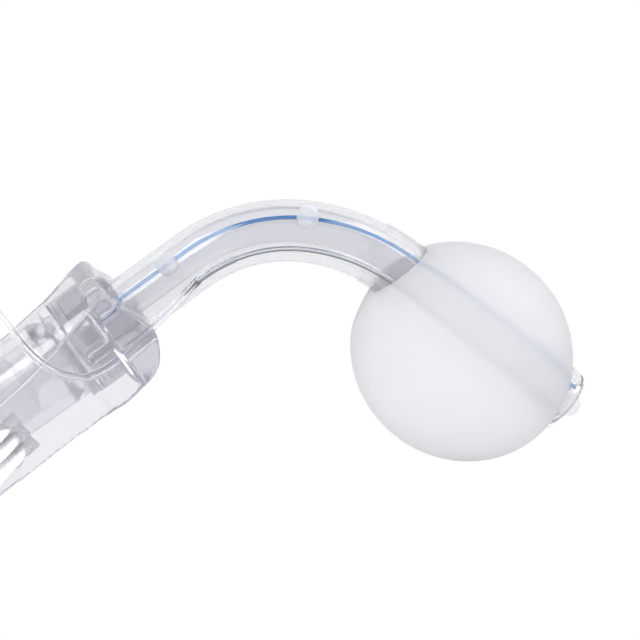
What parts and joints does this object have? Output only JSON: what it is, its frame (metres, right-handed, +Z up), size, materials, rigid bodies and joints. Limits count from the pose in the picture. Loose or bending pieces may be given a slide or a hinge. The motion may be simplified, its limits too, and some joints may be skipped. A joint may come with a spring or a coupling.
{
  "type": "tracheostomy tube",
  "caption": "Curved clear airway tube with an inflated frosted cuff, winged neck flange, tapered breathing connector, obturator, inflation line and a soft neck tape.",
  "frame": {"origin": "on the table, under the middle of the outline of everything but the inflation line and its fittings", "axes": "+X from the hub towards the tube's tip, +Y across the neck flange, +Z up from the table; the tube's curve lies in the XZ plane"},
  "size_m": [0.2248, 0.0788, 0.0462],
  "materials": {
    "clear_pvc": "clear soft vinyl with a faint lavender tint",
    "clear_flange": "clear soft vinyl with a lavender tint",
    "connector_plastic": "translucent polished",
    "frosted_film": "frosted thin film",
    "blue_stripe": "embedded",
    "resin": "frosted resin",
    "obturator_plastic": "satin translucent",
    "clear_line": "clear soft vinyl",
    "white_tape": "woven cotton",
    "white_plastic": "moulded",
    "blue_plastic": "moulded",
    "valve_rubber": "moulded",
    "spring_steel": "drawn wire"
  },
  "bodies": {
    "tube": {"outer_tube": "clear_pvc", "radiopaque_line": "blue_stripe", "bead_front": "resin", "bead_rear": "resin", "line_insert": "clear_line", "lumen_plug": "resin", "cuff": "frosted_film", "neck_flange": "clear_flange", "connector_15mm": "connector_plastic", "obturator": "obturator_plastic", "neck_tape": "white_tape", "inflation_line": "clear_line", "line_coil": "clear_line", "coil_tie": "white_plastic", "line_tail": "clear_line", "balloon_sleeve": "blue_plastic", "pilot_balloon": "clear_pvc", "valve_stub": "white_plastic", "valve_housing": "white_plastic", "valve_spring": "spring_steel"},
    "plunger": {"valve_plunger": "blue_plastic", "valve_seal": "valve_rubber"}
  },
  "joints": [
    {"name": "valve_slide", "type": "slide", "parent": "tube", "child": "plunger", "axis": [0.9063, 0.4226, 0], "range_m": [0, 0.0012], "stiffness_N_per_m": 400, "deforming": ["valve_spring"]}
  ]
}
